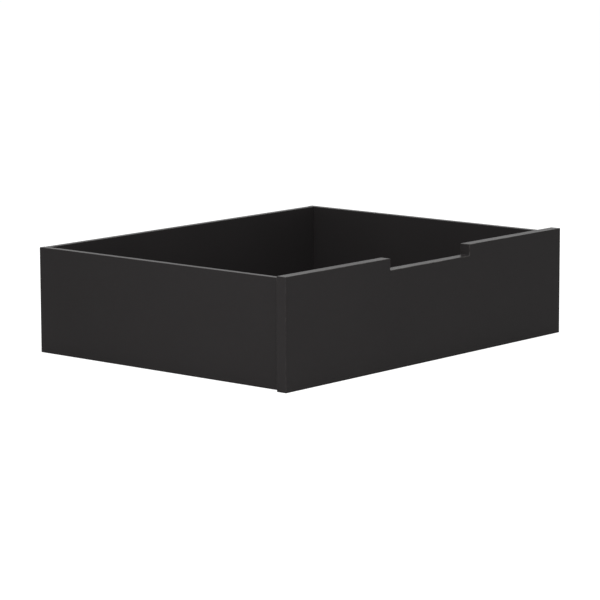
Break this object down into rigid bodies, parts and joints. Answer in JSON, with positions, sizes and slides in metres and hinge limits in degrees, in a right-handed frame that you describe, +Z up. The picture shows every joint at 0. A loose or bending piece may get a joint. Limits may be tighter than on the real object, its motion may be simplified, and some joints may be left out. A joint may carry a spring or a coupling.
{
  "type": "open storage drawer",
  "caption": "Open-topped storage drawer box with a wide overlapping front panel that has a rectangular hand notch in its top edge.",
  "frame": {"origin": "middle of the drawer's footprint, on the surface that it stands on", "axes": "+X along the front panel, left to right seen from the front; +Y from the front panel to the back; +Z up"},
  "size_m": [0.752, 0.576, 0.19],
  "materials": {
    "black_lacquer": "satin black lacquer on fibreboard",
    "black_hardboard": "matt black painted hardboard",
    "planed_pine": "planed, unpainted",
    "zinc_alloy": "die-cast zinc, tumbled",
    "plated_steel": "zinc plated",
    "beech": "turned, unpainted"
  },
  "bodies": {
    "root": {"front_panel": "black_lacquer", "left_side_panel": "black_lacquer", "right_side_panel": "black_lacquer", "back_panel": "black_lacquer", "bottom_panel": "black_hardboard", "support_rail": "planed_pine", "cam_locks": "zinc_alloy", "front_cam_bolts": "plated_steel", "back_cam_bolts": "plated_steel", "front_dowels": "beech", "back_dowels": "beech", "rail_dowels": "beech"}
  },
  "joints": []
}
